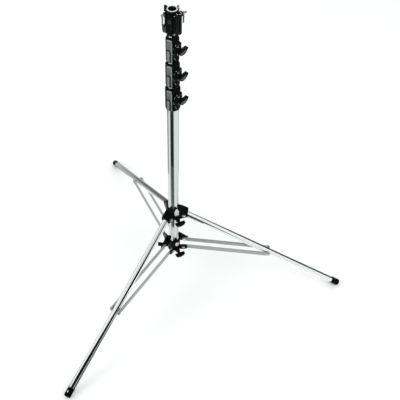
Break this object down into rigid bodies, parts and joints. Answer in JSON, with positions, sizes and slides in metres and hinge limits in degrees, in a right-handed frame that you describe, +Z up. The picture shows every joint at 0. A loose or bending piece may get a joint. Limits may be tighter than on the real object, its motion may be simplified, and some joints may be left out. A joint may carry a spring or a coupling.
{
  "type": "studio stand",
  "caption": "Chrome steel studio stand with telescoping risers, clamp castings, a socket head, and legs spread by braces from two sliding collars.",
  "frame": {"origin": "centre of the underside of the plug that closes the base tube, on the column's axis", "axes": "+Z up the column to the socket, -Y towards leg 1, +X to the right of leg 1 seen from leg 1"},
  "size_m": [1.4938, 1.2981, 1.6474],
  "materials": {
    "chrome": "polished chrome plate on steel tube",
    "casting": "black paint, half gloss, on a casting",
    "plastic": "matt black moulded plastic",
    "zinc": "bright zinc plated steel",
    "brass": "bare brass"
  },
  "bodies": {
    "column": {"base_plug": "plastic", "base_tube": "chrome", "lock_casting_1": "casting", "lock_shoe_1": "brass", "guide_bush_1": "plastic"},
    "riser_1": {"riser_tube_1": "chrome", "riser_guide_1": "plastic", "lock_casting_2": "casting", "lock_shoe_2": "brass", "guide_bush_2": "plastic"},
    "riser_2": {"riser_tube_2": "chrome", "riser_guide_2": "plastic", "lock_casting_3": "casting", "lock_shoe_3": "brass", "guide_bush_3": "plastic"},
    "riser_3": {"riser_tube_3": "chrome", "riser_guide_3": "plastic", "head_casting": "casting", "socket_liner": "chrome", "head_bolt": "zinc"},
    "lock_knob_1": {"lock_knob_1": "plastic"},
    "lock_knob_2": {"lock_knob_2": "plastic"},
    "lock_knob_3": {"lock_knob_3": "plastic"},
    "head_screw_back": {"head_screw_back": "chrome"},
    "head_screw_front": {"head_screw_front": "chrome"},
    "leg_collar": {"leg_collar": "casting", "leg_collar_shoe": "brass", "leg_bolt_1": "zinc", "leg_bolt_2": "zinc", "leg_bolt_3": "zinc"},
    "leg_collar_knob": {"leg_collar_knob": "plastic"},
    "brace_collar": {"brace_collar": "casting", "brace_collar_shoe": "brass", "side_clamp_shoe": "brass", "brace_pin_1_left": "zinc", "brace_pin_1_right": "zinc", "brace_pin_2_left": "zinc", "brace_pin_2_right": "zinc", "brace_pin_3_left": "zinc", "brace_pin_3_right": "zinc"},
    "brace_collar_knob": {"brace_collar_knob": "plastic"},
    "side_clamp_knob": {"side_clamp_knob": "plastic"},
    "leg_1": {"leg_tube_1": "chrome", "foot_cap_1": "plastic", "brace_bolt_1": "zinc"},
    "leg_2": {"leg_tube_2": "chrome", "foot_cap_2": "plastic", "brace_bolt_2": "zinc"},
    "leg_3": {"leg_tube_3": "chrome", "foot_cap_3": "plastic", "brace_bolt_3": "zinc"},
    "braces_1": {"brace_1_left": "chrome", "brace_1_right": "chrome"},
    "braces_2": {"brace_2_left": "chrome", "brace_2_right": "chrome"},
    "braces_3": {"brace_3_left": "chrome", "brace_3_right": "chrome"}
  },
  "joints": [
    {"name": "riser_1_slide", "type": "slide", "parent": "column", "child": "riser_1", "axis": [0, 0, 1], "range_m": [0, 0.925]},
    {"name": "riser_2_slide", "type": "slide", "parent": "riser_1", "child": "riser_2", "axis": [0, 0, 1], "range_m": [0, 1.03]},
    {"name": "riser_3_slide", "type": "slide", "parent": "riser_2", "child": "riser_3", "axis": [0, 0, 1], "range_m": [0, 1.135]},
    {"name": "lock_knob_1_turn", "type": "hinge", "parent": "column", "child": "lock_knob_1", "pos_m": [0, 0, 1.018], "axis": [0.9976, -0.0698, 0], "range_deg": [0, 360]},
    {"name": "lock_knob_2_turn", "type": "hinge", "parent": "riser_1", "child": "lock_knob_2", "pos_m": [0, 0, 1.139], "axis": [0.9976, -0.0698, 0], "range_deg": [0, 360]},
    {"name": "lock_knob_3_turn", "type": "hinge", "parent": "riser_2", "child": "lock_knob_3", "pos_m": [0, 0, 1.26], "axis": [0.9976, -0.0698, 0], "range_deg": [0, 360]},
    {"name": "head_screw_back_turn", "type": "hinge", "parent": "riser_3", "child": "head_screw_back", "pos_m": [0, 0, 1.396], "axis": [0.4848, 0.8746, 0], "range_deg": [0, 360]},
    {"name": "head_screw_front_turn", "type": "hinge", "parent": "riser_3", "child": "head_screw_front", "pos_m": [0, 0, 1.409], "axis": [-0.4848, -0.8746, 0], "range_deg": [0, 360]},
    {"name": "leg_collar_slide", "type": "slide", "parent": "column", "child": "leg_collar", "axis": [0, 0, 1], "range_m": [0, 0.6]},
    {"name": "leg_collar_knob_turn", "type": "hinge", "parent": "leg_collar", "child": "leg_collar_knob", "pos_m": [0, 0, 0.27271], "axis": [0.866, -0.5, 0], "range_deg": [0, 360]},
    {"name": "fold_slide", "type": "slide", "parent": "leg_collar", "child": "brace_collar", "axis": [0, 0, 1], "range_m": [0, 0.1659]},
    {"name": "brace_collar_knob_turn", "type": "hinge", "parent": "brace_collar", "child": "brace_collar_knob", "pos_m": [0, 0, 0.028], "axis": [0.866, -0.5, 0], "range_deg": [0, 360]},
    {"name": "side_clamp_knob_turn", "type": "hinge", "parent": "brace_collar", "child": "side_clamp_knob", "pos_m": [0, 0, 0.0175], "axis": [-0.866, -0.5, 0], "range_deg": [0, 360]},
    {"name": "leg_1_hinge", "type": "hinge", "parent": "leg_collar", "child": "leg_1", "pos_m": [0, -0.05, 0.28171], "axis": [1, 0, 0], "range_deg": [0, 58.8]},
    {"name": "leg_2_hinge", "type": "hinge", "parent": "leg_collar", "child": "leg_2", "pos_m": [0.0433, 0.025, 0.28171], "axis": [-0.5, 0.866, 0], "range_deg": [0, 58.8]},
    {"name": "leg_3_hinge", "type": "hinge", "parent": "leg_collar", "child": "leg_3", "pos_m": [-0.0433, 0.025, 0.28171], "axis": [-0.5, -0.866, 0], "range_deg": [0, 58.8]},
    {"name": "braces_1_hinge", "type": "hinge", "parent": "brace_collar", "child": "braces_1", "pos_m": [0, -0.05, 0.045], "axis": [1, 0, 0], "range_deg": [0, 87.5]},
    {"name": "braces_2_hinge", "type": "hinge", "parent": "brace_collar", "child": "braces_2", "pos_m": [0.0433, 0.025, 0.045], "axis": [-0.5, 0.866, 0], "range_deg": [0, 87.5]},
    {"name": "braces_3_hinge", "type": "hinge", "parent": "brace_collar", "child": "braces_3", "pos_m": [-0.0433, 0.025, 0.045], "axis": [-0.5, -0.866, 0], "range_deg": [0, 87.5]}
  ],
  "couplings": [
    {"joint": "leg_1_hinge", "follows": "fold_slide", "rad_per_m": 6.1829},
    {"joint": "leg_2_hinge", "follows": "fold_slide", "rad_per_m": 6.1829},
    {"joint": "leg_3_hinge", "follows": "fold_slide", "rad_per_m": 6.1829},
    {"joint": "braces_1_hinge", "follows": "fold_slide", "rad_per_m": 9.2},
    {"joint": "braces_2_hinge", "follows": "fold_slide", "rad_per_m": 9.2},
    {"joint": "braces_3_hinge", "follows": "fold_slide", "rad_per_m": 9.2}
  ]
}
